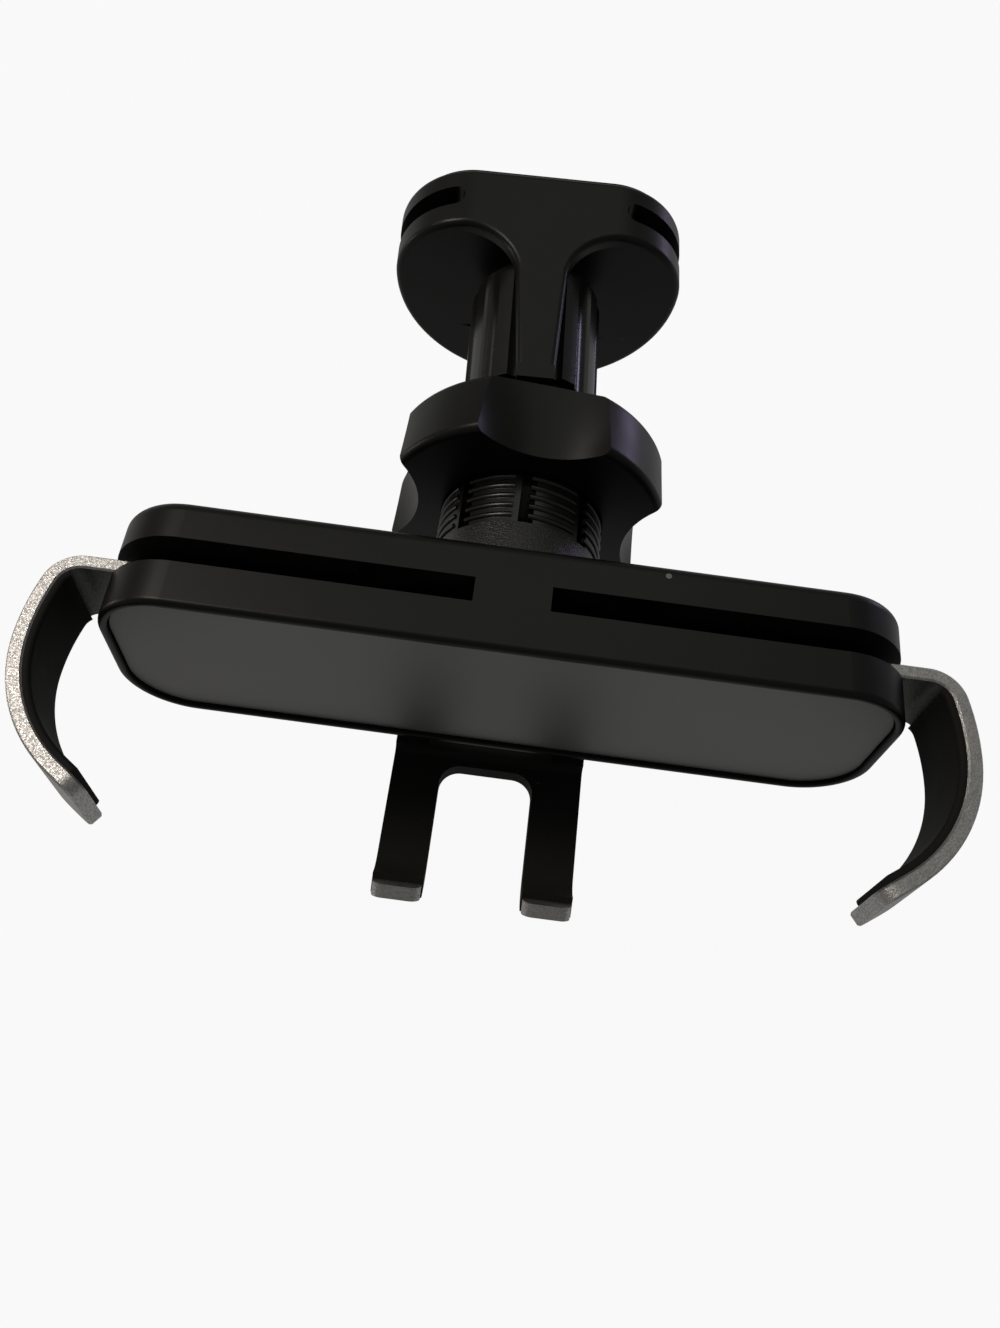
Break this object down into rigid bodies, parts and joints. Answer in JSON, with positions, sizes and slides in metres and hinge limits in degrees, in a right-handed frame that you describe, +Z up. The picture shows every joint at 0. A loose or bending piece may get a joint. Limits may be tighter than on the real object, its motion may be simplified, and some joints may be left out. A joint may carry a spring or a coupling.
{
  "type": "air vent phone mount",
  "caption": "Car air vent phone mount with a hook clip, a ball joint under a lobed clamping nut, and a cradle whose arms swing in when the foot is pressed down",
  "frame": {"origin": "on the stem's axis, at the rubber face that meets the vent", "axes": "+Y runs along the stem into the vent, +X is to the right seen from the phone's side, +Z is up"},
  "size_m": [0.101, 0.1036, 0.0352],
  "materials": {
    "satin_plastic": "satin black moulding",
    "grip_plastic": "smooth black moulding",
    "textured_plastic": "finely textured dark grey moulding",
    "plate_metal": "satin dark grey",
    "arm_aluminium": "blasted silver",
    "soft_rubber": "matte black",
    "plated_steel": "plated",
    "insert_brass": "machined",
    "ball_plastic": "polished black",
    "slide_plastic": "natural acetal"
  },
  "bodies": {
    "clip": {"clip_frame": "satin_plastic", "vent_pad": "soft_rubber"},
    "knob": {"tightening_knob": "grip_plastic", "knob_insert": "insert_brass"},
    "hook": {"vent_hook": "plated_steel", "hook_sleeve": "soft_rubber"},
    "ball_stud": {"ball_stud": "ball_plastic"},
    "friction_liner": {"friction_liner": "slide_plastic"},
    "cradle": {"front_shell": "satin_plastic", "rear_shell": "satin_plastic", "face_plate": "plate_metal", "collet_socket": "textured_plastic", "left_pivot_pin": "plated_steel", "right_pivot_pin": "plated_steel", "shell_screws": "plated_steel", "foot_spring": "plated_steel"},
    "lock_nut": {"lock_nut": "satin_plastic"},
    "foot": {"foot_fork": "arm_aluminium", "foot_pad": "soft_rubber", "foot_slider": "slide_plastic", "foot_rivets": "plated_steel"},
    "left_arm": {"left_arm": "arm_aluminium", "left_arm_pad": "soft_rubber"},
    "right_arm": {"right_arm": "arm_aluminium", "right_arm_pad": "soft_rubber"}
  },
  "joints": [
    {"name": "knob_turn", "type": "hinge", "parent": "clip", "child": "knob", "pos_m": [0, -0.019, 0], "axis": [0, 1, 0], "range_deg": [-1440, 2880]},
    {"name": "hook_slide", "type": "slide", "parent": "clip", "child": "hook", "axis": [0, 1, 0], "range_m": [-0.004, 0.008]},
    {"name": "ball_spin", "type": "hinge", "parent": "clip", "child": "ball_stud", "pos_m": [0, -0.0462, 0], "axis": [0, 1, 0], "continuous": true},
    {"name": "ball_tilt", "type": "hinge", "parent": "ball_stud", "child": "friction_liner", "pos_m": [0, -0.0462, 0], "axis": [1, 0, 0], "range_deg": [-11, 21]},
    {"name": "ball_pan", "type": "hinge", "parent": "friction_liner", "child": "cradle", "pos_m": [0, -0.0462, 0], "axis": [0, 0.0872, 0.9962], "range_deg": [-13, 19]},
    {"name": "nut_turn", "type": "hinge", "parent": "cradle", "child": "lock_nut", "pos_m": [0, -0.0462, 0], "axis": [0.0523, 0.9948, -0.087], "range_deg": [-20, 340]},
    {"name": "foot_slide", "type": "slide", "parent": "cradle", "child": "foot", "axis": [0, -0.0872, -0.9962], "range_m": [0, 0.008], "stiffness_N_per_m": 100, "springref_m": -0.004, "deforming": ["foot_spring"]},
    {"name": "left_arm_swing", "type": "hinge", "parent": "cradle", "child": "left_arm", "pos_m": [-0.01801, -0.06482, 0.00384], "axis": [0.0523, 0.9948, -0.087], "range_deg": [0, 40]},
    {"name": "right_arm_swing", "type": "hinge", "parent": "cradle", "child": "right_arm", "pos_m": [0.01594, -0.06659, 0.00399], "axis": [-0.0523, -0.9948, 0.087], "range_deg": [0, 40]}
  ],
  "couplings": [
    {"joint": "knob_turn", "follows": "hook_slide", "rad_per_m": 6283.2},
    {"joint": "left_arm_swing", "follows": "foot_slide", "rad_per_m": 87.193},
    {"joint": "right_arm_swing", "follows": "foot_slide", "rad_per_m": 87.193}
  ]
}
